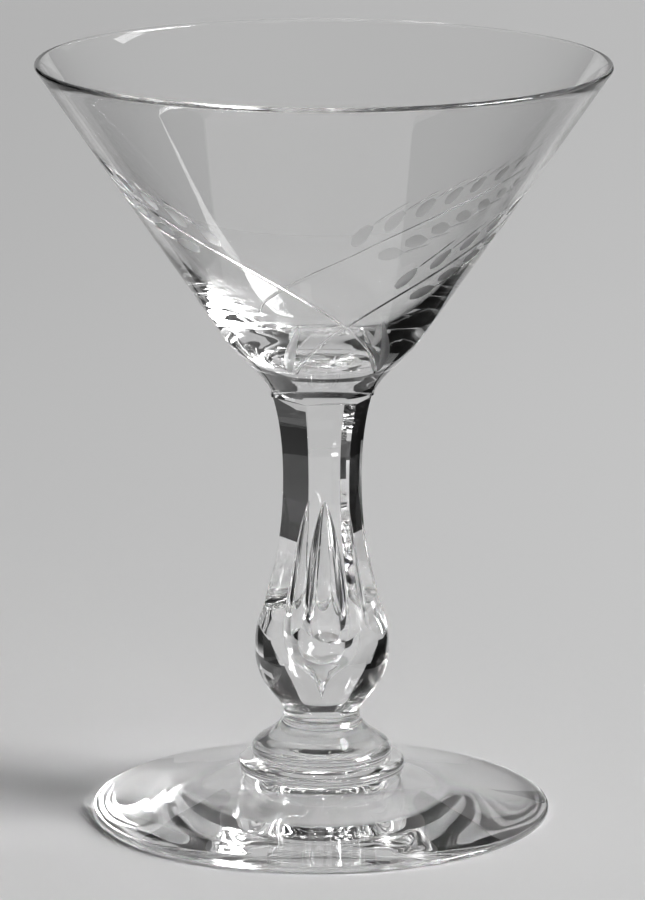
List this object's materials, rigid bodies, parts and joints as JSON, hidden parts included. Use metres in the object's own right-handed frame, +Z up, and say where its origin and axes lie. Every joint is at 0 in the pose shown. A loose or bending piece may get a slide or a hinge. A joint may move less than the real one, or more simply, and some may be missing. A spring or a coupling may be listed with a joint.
{
  "type": "cocktail glass",
  "caption": "Stemmed cocktail glass with a straight conical bowl, a hexagon-cut baluster stem holding an air tear, a collar knop, a merese and a low conical foot.",
  "frame": {"origin": "on the table, under the centre of the foot", "axes": "+Z up along the axis of the stem and bowl, -Y towards the viewer of the picture"},
  "size_m": [0.091, 0.091, 0.122],
  "materials": {
    "clear_glass": "fire-polished clear glass"
  },
  "bodies": {
    "root": {"foot": "clear_glass", "merese": "clear_glass", "knop": "clear_glass", "stem": "clear_glass", "bowl": "clear_glass"}
  },
  "joints": []
}
